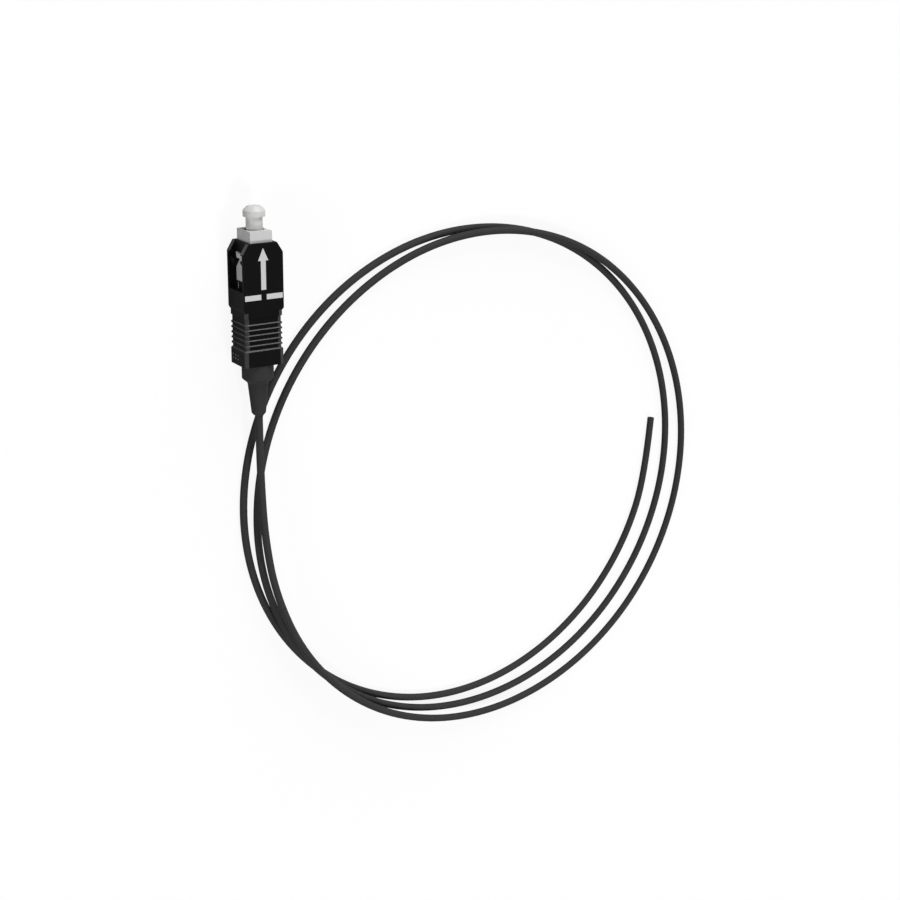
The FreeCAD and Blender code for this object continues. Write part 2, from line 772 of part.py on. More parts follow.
def make_marks():
    """Light print on the plain wide face: two bars, and an arrow towards the mating end."""
    for name, side in (("index_mark_left", -1), ("index_mark_right", 1)):
        bar = doc.addObject("Part::Box", name)
        bar.Label = name
        near = size("mark_gap") / 2
        low = near if side > 0 else -(near + size("mark_width"))
        bar.setExpression("Length", size("mark_width").text)
        bar.setExpression("Width", size("mark_length").text)
        bar.setExpression("Height", size("ink_height").text)
        bar.setExpression("Placement.Base.x", low.text)
        bar.setExpression("Placement.Base.y", (plug_centre - size("mark_station") - size("mark_length")).text)
        bar.setExpression("Placement.Base.z", (axis_height + half_thickness).text)
    body = new_body("arrow_mark")
    head = size("arrow_width") / 2
    shaft = size("arrow_shaft") / 2
    tip = size("arrow_station")
    neck = tip + size("arrow_head")
    tail = tip + size("arrow_length")
    arrow = [
        (0, along(tip)), (head, along(neck)), (shaft, along(neck)), (shaft, along(tail)),
        (-shaft, along(tail)), (-shaft, along(neck)), (-head, along(neck)),
    ]
    sketch = outline(body, "XY_Plane", "arrow_outline", [arrow], half_thickness)
    pad(body, sketch, size("ink_height"), "arrow_ink")


# The cable leaves the plug along its axis. Its turns lie on the surface, and rise where they cross.
COIL_FIRST = 195
COIL_LAST = 1082.5
COIL_STEPS = 59
DESCENT = (232, 294)
CROSSINGS = (441, 584)
CROSSING_TOP = 14
CROSSING_FOOT = 48


def ease(share):
    share = min(max(share, 0.0), 1.0)
    return share * share * (3 - 2 * share)


def crossing_lift(angle):
    """How many cable heights the cable is lifted at an angle along the coil."""
    start, foot = DESCENT
    lift = 2 * ease((foot - angle) / (foot - start))
    for top in CROSSINGS:
        lift += ease((CROSSING_FOOT - abs(angle - top)) / (CROSSING_FOOT - CROSSING_TOP))
    return lift


def cable_route():
    """Points of the cable's route in the object's frame, from the jacket's front to the cut end."""
    radius = cable_radius.value
    height = size("cable_diameter").value + size("crossing_gap").value
    front = plug_centre.value - jacket_front.value
    route = [
        FreeCAD.Vector(0.0, front, axis_height.value),
        FreeCAD.Vector(0.0, -24.0, axis_height.value),
        FreeCAD.Vector(0.1, -36.5, axis_height.value),
        FreeCAD.Vector(0.75, -49.8, axis_height.value),
    ]
    centre = FreeCAD.Vector(size("coil_centre_x").value, size("coil_centre_y").value, radius)
    drift = FreeCAD.Vector(size("coil_drift_x").value, size("coil_drift_y").value, 0)
    lean = FreeCAD.Vector(size("coil_lean_x").value, size("coil_lean_y").value, 1)
    for step in range(COIL_STEPS + 1):
        angle = COIL_FIRST + (COIL_LAST - COIL_FIRST) * step / COIL_STEPS
        turns = (angle - 180) / 360
        reach = size("coil_radius").value - size("coil_shrink").value * turns
        bearing = math.radians(angle)
        outward = FreeCAD.Vector(math.cos(bearing), math.sin(bearing), 0)
        route.append(centre + drift * turns + lean * (height * crossing_lift(angle)) + outward * reach)
    return route


def rounded_path(route):
    """Straight runs joined by tangent arcs, each as large as its two runs allow."""
    edges = []
    radii = []
    here = route[0]
    for before, corner, after in zip(route, route[1:], route[2:]):
        back = before - corner
        ahead = after - corner
        reach = 0.45 * min(back.Length, ahead.Length)
        back.normalize()
        ahead.normalize()
        half_turn = (math.pi - back.getAngle(ahead)) / 2
        radius = reach / math.tan(half_turn)
        start = corner + back * reach
        end = corner + ahead * reach
        inward = (back + ahead).normalize()
        middle = corner + inward * (radius / math.cos(half_turn) - radius)
        edges.append(Part.LineSegment(here, start).toShape())
        edges.append(Part.Arc(start, middle, end).toShape())
        radii.append(radius)
        here = end
    edges.append(Part.LineSegment(here, route[-1]).toShape())
    return Part.Wire(edges), radii


def make_cable(buffer_end):
    radius = cable_radius.value
    route = cable_route()
    path, radii = rounded_path(route)
    section = Part.Wire(Part.Circle(route[0], route[0] - route[1], radius).toShape())
    tube = path.makePipeShell([section], True, False)
    expected = math.pi * radius * radius * path.Length
    print(f"cable length {path.Length:.1f}, volume {tube.Volume:.1f} of {expected:.1f}")
    print(f"cable radii {min(radii):.1f} to {max(radii):.1f}")
    if abs(tube.Volume / expected - 1) > 0.01:
        raise RuntimeError("the cable's tube isn't its section times its length")
    bore_end = buffer_end + size("ferrule_travel") * 2
    bore = Part.makeCylinder(buffer_radius.value + size("float_clearance").value,
                             bore_end.value - jacket_front.value, route[0], FreeCAD.Vector(0, -1, 0))
    cable = doc.addObject("Part::Feature", "cable")
    cable.Label = "cable"
    cable.Shape = tube.cut(bore)


make_outer_housing()
make_plug_frame()
make_ferrule()
make_ferrule_flange()
make_guide_tube()
make_rear_body()
make_aramid_yarn()
make_crimp_sleeve()
make_boot()
make_spring()
make_dust_cap()
make_marks()
make_cable(make_fibres())
doc.recompute()

failed = [item.Label for item in doc.Objects if "Invalid" in item.State or "Error" in item.State]
if failed:
    raise RuntimeError(f"these objects failed: {failed}")

pieces = [
    item for item in doc.Objects
    if item.isDerivedFrom("PartDesign::Body")
    or item.TypeId in ("Part::Box", "Part::Cylinder", "Part::Feature")
]
for piece in pieces:
    if piece.Shape.isNull() or not piece.Shape.isValid():
        raise RuntimeError(f"{piece.Label} has no valid shape")

os.makedirs("parts", exist_ok=True)
for piece in pieces:
    piece.Shape.exportStep(f"parts/{piece.Label}.step")
    print(f"{piece.Label}: {len(piece.Shape.Solids)} solid, {piece.Shape.Volume:.2f} mm3")
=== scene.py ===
import math

import bmesh
import bpy
from mathutils import Matrix, Vector


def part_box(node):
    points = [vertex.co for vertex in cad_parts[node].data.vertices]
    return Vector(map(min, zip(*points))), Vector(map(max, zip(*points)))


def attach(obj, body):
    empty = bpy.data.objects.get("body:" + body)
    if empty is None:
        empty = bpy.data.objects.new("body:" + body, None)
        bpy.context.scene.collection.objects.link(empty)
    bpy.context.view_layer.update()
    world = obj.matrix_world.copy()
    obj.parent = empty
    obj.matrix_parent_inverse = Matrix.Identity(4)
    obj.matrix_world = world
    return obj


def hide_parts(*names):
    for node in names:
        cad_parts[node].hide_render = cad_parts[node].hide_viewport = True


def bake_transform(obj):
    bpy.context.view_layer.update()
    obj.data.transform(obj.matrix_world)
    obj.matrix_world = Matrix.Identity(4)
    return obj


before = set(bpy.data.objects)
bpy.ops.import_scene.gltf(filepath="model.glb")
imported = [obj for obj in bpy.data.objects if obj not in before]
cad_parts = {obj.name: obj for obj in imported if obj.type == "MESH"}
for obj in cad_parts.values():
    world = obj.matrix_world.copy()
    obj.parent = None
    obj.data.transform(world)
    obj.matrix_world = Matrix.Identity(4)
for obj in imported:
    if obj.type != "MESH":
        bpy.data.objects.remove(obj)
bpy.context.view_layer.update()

# A fibre pigtail: a square push-pull plug with its dust cap on, and its cable in loose turns beside it.
# The plug's axis runs along Y, with the mating end at +Y and the printed wide face up.
MM = 0.001

# Camera, where the photograph was taken from
EYE = Vector((-0.150913, 0.080165, 0.314338))
VIEW_RIGHT = Vector((0.84357853, 0.01056018, 0.53690198))
VIEW_UP = Vector((0.15515518, 0.9523732, -0.26251125))
SENSOR_WIDTH = 36
LENS = 68.128
CLIP_NEAR = 0.01
CLIP_FAR = 20


def make_camera():
    data = bpy.data.cameras.new("camera")
    data.sensor_width = SENSOR_WIDTH
    data.lens = LENS
    data.clip_start = CLIP_NEAR
    data.clip_end = CLIP_FAR
    camera = bpy.data.objects.new("camera", data)
    bpy.context.scene.collection.objects.link(camera)
    view_back = VIEW_RIGHT.cross(VIEW_UP)
    facing = Matrix((VIEW_RIGHT, VIEW_UP, view_back)).transposed()
    camera.matrix_world = Matrix.Translation(EYE) @ facing.to_4x4()
    bpy.context.scene.camera = camera


make_camera()

# Places on the plug, in millimetres: the corners of its pieces, its axis's height and the boot's tip
cap_low, cap_high = (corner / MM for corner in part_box("dust_cap"))
boot_low, boot_high = (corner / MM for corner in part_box("boot"))
ferrule_low, ferrule_high = (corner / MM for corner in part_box("ferrule"))
housing_low, housing_high = (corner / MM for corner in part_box("outer_housing"))
AXIS_HEIGHT = (cap_low.z + cap_high.z) / 2
BOOT_TIP = boot_low.y

# The cable leaves the plug along its axis. Its turns lie on the surface, and rise where they cross.
# Sizes are in millimetres and angles in degrees, but the cable's length is in metres.
CABLE_DIAMETER = 1.65
CABLE_FINENESS = 8
CROSSING_GAP = 0.25
JACKET_FRONT = -12.34
LEAD = [(0.0, JACKET_FRONT), (0.0, -24.0), (0.1, -36.5), (0.75, -49.8)]
COIL_RADIUS = 59.4
COIL_SHRINK = 1.05
COIL_CENTRE = Vector((62.95, -49.5, CABLE_DIAMETER / 2))
COIL_DRIFT = Vector((-4.25, 2.5, 0))
COIL_LEAN = Vector((-0.635, 0.385, 1))
COIL_FIRST = 195
COIL_LAST = 1082.5
COIL_STEPS = 59
DESCENT = (232, 294)
CROSSINGS = (441, 584)
CROSSING_TOP = 14
CROSSING_FOOT = 48


def ease(share):
    share = min(max(share, 0.0), 1.0)
    return share * share * (3 - 2 * share)


def crossing_lift(angle):
    """How many cable heights the cable is lifted at an angle along the coil."""
    start, foot = DESCENT
    lift = 2 * ease((foot - angle) / (foot - start))
    for top in CROSSINGS:
        lift += ease((CROSSING_FOOT - abs(angle - top)) / (CROSSING_FOOT - CROSSING_TOP))
    return lift


def cable_route():
    """The cable's route in millimetres, from the jacket's front to the cut end."""
    height = CABLE_DIAMETER + CROSSING_GAP
    route = [Vector((x, y, AXIS_HEIGHT)) for x, y in LEAD]
    for step in range(COIL_STEPS + 1):
        angle = COIL_FIRST + (COIL_LAST - COIL_FIRST) * step / COIL_STEPS
        turns = (angle - 180) / 360
        reach = COIL_RADIUS - COIL_SHRINK * turns
        bearing = math.radians(angle)
        outward = Vector((math.cos(bearing), math.sin(bearing), 0))
        lifted = COIL_LEAN * (height * crossing_lift(angle))
        route.append(COIL_CENTRE + COIL_DRIFT * turns + lifted + outward * reach)
    return route


def make_cable():
    curve = bpy.data.curves.new("cable_jacket", "CURVE")
    curve.dimensions = "3D"
    route = cable_route()
    spline = curve.splines.new("NURBS")
    spline.points.add(len(route) - 1)
    for point, place in zip(spline.points, route):
        point.co = (*(place * MM), 1)
        point.radius = CABLE_DIAMETER / 2 * MM
    spline.order_u = 3
    spline.use_endpoint_u = True
    spline.resolution_u = CABLE_FINENESS
    curve.bevel_depth = 1
    curve.bevel_resolution = CABLE_FINENESS
    curve.use_fill_caps = True
    cable = bpy.data.objects.new("cable_jacket", curve)
    bpy.context.scene.collection.objects.link(cable)
    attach(cable, "plug")
    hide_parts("cable")
    return cable


cable = make_cable()


class Shade:
    """A node's output in a finish. Sums, differences and products of shades and numbers add Math nodes."""

    def __init__(self, finish, socket):
        self.finish = finish
        self.socket = socket

    def combined(self, operation, first, second):
        return self.finish.node("ShaderNodeMath", {"operation": operation}, {0: first, 1: second})

    def __add__(self, other):
        return self.combined("ADD", self, other)

    def __radd__(self, other):
        return self.combined("ADD", other, self)

    def __sub__(self, other):
        return self.combined("SUBTRACT", self, other)

    def __rsub__(self, other):
        return self.combined("SUBTRACT", other, self)

    def __mul__(self, other):
        return self.combined("MULTIPLY", self, other)

    def __rmul__(self, other):
        return self.combined("MULTIPLY", other, self)


class Finish:
    """A material's nodes around one surface shader."""

    def __init__(self, name, **uniform):
        self.material = bpy.data.materials.new(name)
        self.material.use_nodes = True
        self.nodes = self.material.node_tree.nodes
        self.shader = self.nodes["Principled BSDF"]
        for socket, value in uniform.items():
            self.shader.inputs[socket.replace("_", " ")].default_value = value
        self.place = self.node("ShaderNodeTexCoord", output="Object")

    def node(self, kind, settings=None, inputs=None, output=0):
        """Adds a node, gives it its settings, then the values or links of its sockets."""
        made = self.nodes.new(kind)
        for name, value in (settings or {}).items():
            if name == "stops":
                for stop, (position, grey) in zip(made.color_ramp.elements, value):
                    stop.position = position
                    stop.color = (grey, grey, grey, 1)
            else:
                setattr(made, name, value)
        for key, value in (inputs or {}).items():
            if isinstance(value, Shade):
                self.material.node_tree.links.new(value.socket, made.inputs[key])
            else:
                made.inputs[key].default_value = value
        return Shade(self, made.outputs[output])

    def feed(self, socket, shade):
        self.material.node_tree.links.new(shade.socket, self.shader.inputs[socket])

    def noise(self, size_mm, detail=2.0, stretch=(1, 1, 1)):
        """Soft noise whose patches are about this many millimetres across, from 0 to 1."""
        place = self.node("ShaderNodeMapping", {}, {"Vector": self.place, "Scale": stretch})
        scale = 1 / (size_mm * MM)
        return self.node("ShaderNodeTexNoise", {}, {"Vector": place, "Scale": scale, "Detail": detail})

    def tint(self, share, first, second):
        """A colour between two, by a share."""
        ends = {0: share, 6: (*first, 1), 7: (*second, 1)}
        mixed = self.node("ShaderNodeMix", {"data_type": "RGBA"}, ends, output=2)
        self.feed("Base Color", mixed)

    def bump(self, height, depth_mm):
        relief = self.node("ShaderNodeBump", {}, {"Height": height, "Distance": depth_mm * MM})
        self.feed("Normal", relief)


def grey(value):
    return (value, value, value)


def housing_plastic():
    """Black moulded plastic with a fine spark-eroded grain."""
    finish = Finish("black_housing_plastic", Specular_IOR_Level=0.02)
    cloud = finish.noise(2.5, 3)
    grain = finish.noise(0.09, 3)
    finish.tint(cloud, grey(0.0045), grey(0.0065))
    finish.feed("Roughness", 0.3 + 0.1 * grain + 0.06 * cloud)
    finish.bump(grain, 0.006)
    return finish.material


def sloped_face_highlight_plastic():
    """The same black plastic made paler for the housing's sloping faces: a painted highlight where light would
    catch them, mottled at random.
    """
    finish = Finish("black_plastic_painted_highlight", Specular_IOR_Level=0.22)
    mottle = finish.noise(0.5, 4)
    grain = finish.noise(0.09, 3)
    finish.tint(mottle, grey(0.017), grey(0.031))
    finish.feed("Roughness", 0.28 + 0.1 * grain)
    finish.bump(grain, 0.004)
    return finish.material


def frame_plastic():
    """Light grey moulded plastic, slightly clouded."""
    finish = Finish("light_grey_plastic", Specular_IOR_Level=0.4)
    cloud = finish.noise(1.4, 3)
    grain = finish.noise(0.07, 2)
    finish.tint(cloud, grey(0.49), grey(0.55))
    finish.feed("Roughness", 0.42 + 0.12 * grain)
    finish.bump(grain, 0.003)
    return finish.material


def cap_plastic():
    """Milky soft plastic of the dust cap, with faint flow clouds along it."""
    finish = Finish("milky_cap_plastic", Specular_IOR_Level=0.3)
    flow = finish.noise(0.9, 3, (1, 0.35, 1))
    grain = finish.noise(0.12, 2)
    finish.tint(flow, (0.54, 0.54, 0.53), (0.59, 0.59, 0.58))
    finish.feed("Roughness", 0.4 + 0.1 * grain)
    finish.bump(flow, 0.004)
    return finish.material


def boot_rubber():
    """Matt black rubber with a dusty bloom."""
    finish = Finish("black_boot_rubber", Specular_IOR_Level=0.04)
    bloom = finish.noise(1.2, 4)
    grain = finish.noise(0.08, 2)
    finish.tint(bloom, grey(0.029), grey(0.037))
    finish.feed("Roughness", 0.52 + 0.12 * grain + 0.08 * bloom)
    finish.bump(grain, 0.006)
    return finish.material


def jacket_plastic():
    """Black extruded jacket with fine flow marks."""
    finish = Finish("black_cable_jacket", Specular_IOR_Level=0.03)
    bloom = finish.noise(3.0, 3)
    grain = finish.noise(0.12, 3)
    finish.tint(bloom, grey(0.031), grey(0.040))
    finish.feed("Roughness", 0.46 + 0.12 * grain + 0.06 * bloom)
    finish.bump(grain, 0.008)
    return finish.material


def print_ink():
    """Light pad print: thin, and a little uneven."""
    finish = Finish("light_pad_print", Specular_IOR_Level=0.3)
    cover = finish.noise(0.25, 4)
    finish.tint(cover, grey(0.47), grey(0.58))
    finish.feed("Roughness", 0.5 + 0.15 * cover)
    finish.bump(cover, 0.004)
    return finish.material


def pip_glint_paint():
    """Pale grey on the collar's small pips: a painted glint where their bumps would catch the light, varying at
    random between dark and pale.
    """
    finish = Finish("pip_painted_glint", Specular_IOR_Level=0.3)
    speckle = finish.noise(0.06, 3)
    finish.tint(speckle, grey(0.12), grey(0.5))
    finish.feed("Roughness", 0.5 + 0.2 * speckle)
    return finish.material


def ceramic():
    """Polished white ceramic with a faint polishing haze."""
    finish = Finish("polished_ceramic", Specular_IOR_Level=0.6)
    haze = finish.noise(0.5, 3)
    finish.tint(haze, (0.84, 0.83, 0.80), (0.90, 0.89, 0.86))
    finish.feed("Roughness", 0.08 + 0.06 * haze)
    return finish.material


def turned_metal(name, dark, light, roughness):
    """Turned metal with fine rings about the plug's axis."""
    finish = Finish(name, Metallic=1.0)
    rings = finish.noise(0.35, 3, (0.05, 6, 0.05))
    finish.tint(rings, dark, light)
    finish.feed("Roughness", roughness + 0.12 * rings)
    finish.bump(rings, 0.003)
    return finish.material


def plain_coat(name, dark, light, roughness):
    """Smooth coating with a slight clouding, for the buffer and the guide tube."""
    finish = Finish(name)
    cloud = finish.noise(0.6, 3)
    finish.tint(cloud, dark, light)
    finish.feed("Roughness", roughness + 0.1 * cloud)
    return finish.material


def aramid():
    """Yellow strands laid along the cable."""
    finish = Finish("aramid_strands", Specular_IOR_Level=0.4)
    strands = finish.noise(0.08, 3, (1, 0.05, 1))
    finish.tint(strands, (0.52, 0.38, 0.07), (0.86, 0.70, 0.24))
    finish.feed("Roughness", 0.4 + 0.2 * strands)
    finish.bump(strands, 0.03)
    return finish.material


def silica():
    """Clear glass fibre."""
    finish = Finish("clear_silica", Transmission_Weight=1.0, IOR=1.46)
    finish.feed("Roughness", 0.02 + 0.02 * finish.noise(0.2))
    return finish.material


BLACK_PLASTIC = housing_plastic()
SLOPED_FACE_HIGHLIGHT = sloped_face_highlight_plastic()
GREY_PLASTIC = frame_plastic()
CAP_PLASTIC = cap_plastic()
RUBBER = boot_rubber()
JACKET = jacket_plastic()
INK = print_ink()
PIP_GLINT_PAINT = pip_glint_paint()
CERAMIC = ceramic()
STEEL = turned_metal("turned_steel", (0.42, 0.42, 0.43), (0.62, 0.62, 0.63), 0.22)
CRIMP_METAL = turned_metal("drawn_crimp_metal", (0.50, 0.47, 0.42), (0.72, 0.69, 0.63), 0.3)
BUFFER = plain_coat("fibre_buffer", (0.78, 0.78, 0.74), (0.86, 0.86, 0.82), 0.35)
GUIDE = plain_coat("guide_tube_plastic", (0.66, 0.66, 0.64), (0.76, 0.76, 0.74), 0.25)
YARN = aramid()
SILICA = silica()

cable.data.materials.append(JACKET)

NODE_FINISHES = {
    "index_mark_left": INK,
    "index_mark_right": INK,
    "arrow_mark": INK,
    "ferrule_flange": STEEL,
    "rear_body": CRIMP_METAL,
    "crimp_sleeve": CRIMP_METAL,
    "aramid_yarn": YARN,
    "optical_fibre": SILICA,
    "buffered_fibre": BUFFER,
    "guide_tube": GUIDE,
}
for node, material in NODE_FINISHES.items():
    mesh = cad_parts[node].data
    mesh.materials.clear()
    mesh.materials.append(material)


# How finely the pieces are made, in millimetres and degrees
MERGE_WITHIN = 0.0005
FLAT_WITHIN = 0.5
SMOOTH_BELOW = 32
ROUND_PROFILE = 0.5
TURNING_STEPS = 96
CABLE_STEPS = 48
FIBRE_STEPS = 32


def round_edges(shape, width, segments=2, sharper_than=20):
    """Rounds the edges of a shape in millimetres where its faces turn sharply."""
    edges = [
        edge for edge in shape.edges
        if edge.is_manifold and edge.calc_face_angle(0) > math.radians(sharper_than)
    ]
    bmesh.ops.bevel(shape, geom=edges, offset=width, offset_type="OFFSET", affect="EDGES", segments=segments,
                    profile=ROUND_PROFILE, clamp_overlap=True, material=-1)


def dressed(shape, name, materials, slot, *nodes):
    """Turns a shape in millimetres into a piece with its finish, which stands for CAD nodes."""
    bmesh.ops.scale(shape, vec=(MM, MM, MM), verts=shape.verts)
    mesh = bpy.data.meshes.new(name)
    shape.to_mesh(mesh)
    shape.free()
    for material in materials:
        mesh.materials.append(material)
    mesh.shade_smooth()
    mesh.set_sharp_from_angle(angle=math.radians(SMOOTH_BELOW))
    piece = bpy.data.objects.new(name, mesh)
    bpy.context.scene.collection.objects.link(piece)
    weighted = piece.modifiers.new("face_weighted_normals", "WEIGHTED_NORMAL")
    weighted.keep_sharp = True
    if nodes:
        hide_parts(*nodes)
    return piece


def finished(shape, name, materials, body, slot, *nodes):
    """The same, for a piece that rides on one body."""
    piece = dressed(shape, name, materials, slot, *nodes)
    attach(piece, body)
    return piece


def copied(node):
    """A CAD node's shape in millimetres, with its flat faces whole again."""
    shape = bmesh.new()
    shape.from_mesh(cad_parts[node].data)
    bmesh.ops.scale(shape, vec=(1 / MM, 1 / MM, 1 / MM), verts=shape.verts)
    bmesh.ops.remove_doubles(shape, verts=shape.verts, dist=MERGE_WITHIN)
    bmesh.ops.dissolve_limit(shape, angle_limit=math.radians(FLAT_WITHIN), verts=shape.verts, edges=shape.edges)
    return shape


def turned(profile, steps=TURNING_STEPS):
    """A solid turned about the plug's axis from a closed profile of radius and Y pairs."""
    shape = bmesh.new()
    verts = [shape.verts.new((radius, y, 0)) for radius, y in profile]
    sides = zip(verts, verts[1:] + verts[:1])
    edges = [shape.edges.new(side) for side in sides if side[0].co.x or side[1].co.x]
    bmesh.ops.spin(shape, geom=verts + edges, cent=(0, 0, 0), axis=(0, 1, 0), dvec=(0, 0, 0),
                   angle=math.tau, steps=steps, use_merge=True)
    bmesh.ops.remove_doubles(shape, verts=shape.verts, dist=MERGE_WITHIN)
    bmesh.ops.recalc_face_normals(shape, faces=shape.faces)
    return shape


def on_axis(shape):
    bmesh.ops.translate(shape, vec=(0, 0, AXIS_HEIGHT), verts=shape.verts)
    return shape


# Outer housing and inner frame. A face of the housing counts as sloping where the middle one of its normal's
# three parts is above the slope limit, unless it faces the cable. Sloping faces get the paler plastic: a
# painted highlight.
MOULD_ROUND = 0.05
HIGHLIGHT_SLOPE = 0.35
FRAME_ROUND = 0.07


def make_housing():
    shape = copied("outer_housing")
    for face in shape.faces:
        slope = sorted(abs(part) for part in face.normal)[1]
        # Sloping faces, except those facing the cable, take the paler plastic as a painted highlight.
        face.material_index = 1 if slope > HIGHLIGHT_SLOPE > -face.normal.y else 0
    round_edges(shape, MOULD_ROUND)
    finished(shape, "housing_shell", [BLACK_PLASTIC, SLOPED_FACE_HIGHLIGHT], "grip", "black_housing", "outer_housing")


def make_frame():
    shape = copied("plug_frame")
    round_edges(shape, FRAME_ROUND)
    finished(shape, "frame_shell", [GREY_PLASTIC], "plug", "grey_frame", "plug_frame")


# Dust cap
CAP_HEAD_RADIUS = 2.29
CAP_NECK_RADIUS = 1.72
CAP_BORE_RADIUS = 1.28
CAP_SLOPE_WIDTH = 0.82
CAP_SLOPE_LENGTH = 0.86
CAP_HEAD_LENGTH = 2.1
CAP_END_WALL = 2.5
CAP_ROUND = 0.12
CAP_ROUND_SEGMENTS = 4


def make_cap():
    top = cap_high.y
    skirt = cap_low.y
    base = top - CAP_HEAD_LENGTH
    bore_end = top - CAP_END_WALL
    profile = [
        (0, top), (CAP_HEAD_RADIUS - CAP_SLOPE_WIDTH, top), (CAP_HEAD_RADIUS, top - CAP_SLOPE_LENGTH),
        (CAP_HEAD_RADIUS, base), (CAP_NECK_RADIUS, base), (CAP_NECK_RADIUS, skirt), (CAP_BORE_RADIUS, skirt),
        (CAP_BORE_RADIUS, bore_end), (0, bore_end),
    ]
    shape = turned(profile)
    round_edges(shape, CAP_ROUND, CAP_ROUND_SEGMENTS)
    finished(on_axis(shape), "cap_shell", [CAP_PLASTIC], "cap", "white_cap", "dust_cap")


# Boot
BOOT_SLEEVE_RADIUS = 2.65
BOOT_FLANGE_RADIUS = 3.34
BOOT_FLANGE_LENGTH = 3.1
BOOT_SHOULDER_RADIUS = 2.35
BOOT_SHOULDER_LENGTH = 0.9
BOOT_ROOT_RADIUS = 2.18
BOOT_ROOT_LENGTH = 0.3
BOOT_TAPER_LENGTH = 6.35
BOOT_END_RADIUS = 1.52
BOOT_LIP_RADIUS = 1.1
BOOT_THROAT_RADIUS = 0.85
SEAT_GAP = 0.03
BOOT_ROUND = 0.08
BOOT_ROUND_SEGMENTS = 3
BOOT_SOFTEST_EDGE = 12


def make_boot():
    front = boot_high.y
    flange = housing_low.y - SEAT_GAP
    flange_end = flange - BOOT_FLANGE_LENGTH
    shoulder_end = flange_end - BOOT_SHOULDER_LENGTH
    root_end = shoulder_end - BOOT_ROOT_LENGTH
    taper_end = root_end - BOOT_TAPER_LENGTH
    profile = [
        (BOOT_THROAT_RADIUS, front), (BOOT_SLEEVE_RADIUS, front), (BOOT_SLEEVE_RADIUS, flange),
        (BOOT_FLANGE_RADIUS, flange), (BOOT_FLANGE_RADIUS, flange_end), (BOOT_SHOULDER_RADIUS, shoulder_end),
        (BOOT_ROOT_RADIUS, root_end), (BOOT_END_RADIUS, taper_end), (BOOT_LIP_RADIUS, BOOT_TIP),
        (BOOT_THROAT_RADIUS, BOOT_TIP),
    ]
    shape = turned(profile)
    round_edges(shape, BOOT_ROUND, BOOT_ROUND_SEGMENTS, BOOT_SOFTEST_EDGE)
    finished(on_axis(shape), "boot_shell", [RUBBER], "plug", "black_boot", "boot")


# Ferrule
FERRULE_RADIUS = 1.25
FERRULE_CHAMFER = 0.45
FERRULE_BORE = 0.1
FERRULE_ROUND = 0.06
FERRULE_ROUND_SEGMENTS = 3


def make_ferrule():
    tip = ferrule_high.y
    end = ferrule_low.y
    profile = [
        (FERRULE_BORE, tip), (FERRULE_RADIUS - FERRULE_CHAMFER, tip), (FERRULE_RADIUS, tip - FERRULE_CHAMFER),
        (FERRULE_RADIUS, end), (FERRULE_BORE, end),
    ]
    shape = turned(profile)
    round_edges(shape, FERRULE_ROUND, FERRULE_ROUND_SEGMENTS)
    finished(on_axis(shape), "ferrule_shell", [CERAMIC], "ferrule_unit", "ceramic", "ferrule")


def make_spring():
    """The spring behind the ferrule, copied from its CAD node as one piece."""
    spring = dressed(copied("spring"), "ferrule_spring", [STEEL], "steel", "spring")
    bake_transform(spring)


make_housing()
make_frame()
make_cap()
make_boot()
make_ferrule()
make_spring()

# The cable's cut end: the jacket's rim, the strands inside it, and the buffered fibre at the middle
CUT_LENGTH = 0.6
JACKET_WALL = 0.3
STRAND_DEPTH = 0.45
BUFFER_RADIUS = 0.3
BUFFER_DEPTH = 0.38
RIM_ROUND = 0.04
BUFFER_ROUND = 0.03


def at_cable_end(shape):
    """Moves a shape turned about Y to the cable's end, pointing on along the cable."""
    before, end = cable_route()[-2:]
    onward = (end - before).normalized()
    turn = Vector((0, 1, 0)).rotation_difference(onward).to_matrix()
    bmesh.ops.rotate(shape, cent=(0, 0, 0), matrix=turn, verts=shape.verts)
    bmesh.ops.translate(shape, vec=end, verts=shape.verts)
    return shape


def make_cut_end():
    radius = CABLE_DIAMETER / 2
    inner = radius - JACKET_WALL
    strand_face = CUT_LENGTH - STRAND_DEPTH
    buffer_face = CUT_LENGTH - BUFFER_DEPTH
    rim = turned([(radius, 0), (radius, CUT_LENGTH), (inner, CUT_LENGTH), (inner, 0)], CABLE_STEPS)
    round_edges(rim, RIM_ROUND)
    strands = turned([(0, 0), (inner, 0), (inner, strand_face), (0, strand_face)], CABLE_STEPS)
    stub_profile = [(0, 0), (BUFFER_RADIUS, 0), (BUFFER_RADIUS, buffer_face), (0, buffer_face)]
    stub = turned(stub_profile, FIBRE_STEPS)
    round_edges(stub, BUFFER_ROUND)
    return [
        finished(at_cable_end(rim), "jacket_rim", [JACKET], "plug", "black_jacket"),
        finished(at_cable_end(strands), "cut_strands", [YARN], "plug", "yarn"),
        finished(at_cable_end(stub), "buffer_stub", [BUFFER], "plug", "buffer"),
    ]


cut_end = make_cut_end()

# Moulded pips on the collar's narrow face, coloured pale as painted glints
PIP_RADIUS = 0.13
PIP_HEIGHT = 0.06
PIP_FACE = -4.42
PIP_ROWS = (-8.7, -9.5)
PIP_HEIGHTS = (-2.3, -1.1, 0.1)
PIP_STEPS = 16
PIP_BANDS = 8


def make_pips():
    shape = bmesh.new()
    for y in PIP_ROWS:
        for z in PIP_HEIGHTS:
            made = bmesh.ops.create_uvsphere(shape, u_segments=PIP_STEPS, v_segments=PIP_BANDS,
                                             radius=PIP_RADIUS)
            bmesh.ops.scale(shape, vec=(PIP_HEIGHT / PIP_RADIUS, 1, 1), verts=made["verts"])
            bmesh.ops.translate(shape, vec=(PIP_FACE, y, AXIS_HEIGHT + z), verts=made["verts"])
    finished(shape, "collar_pips", [PIP_GLINT_PAINT], "grip", "light_print")


make_pips()

# A thin light witness line on the slot's floor, behind its window
LINE_FACE = -3.18
LINE_HEIGHT = 3.15
LINE_FRONT = 6.4
LINE_LENGTH = 1.95
LINE_WIDTH = 0.12
LINE_PROUD = 0.03
LINE_ROUND = 0.01


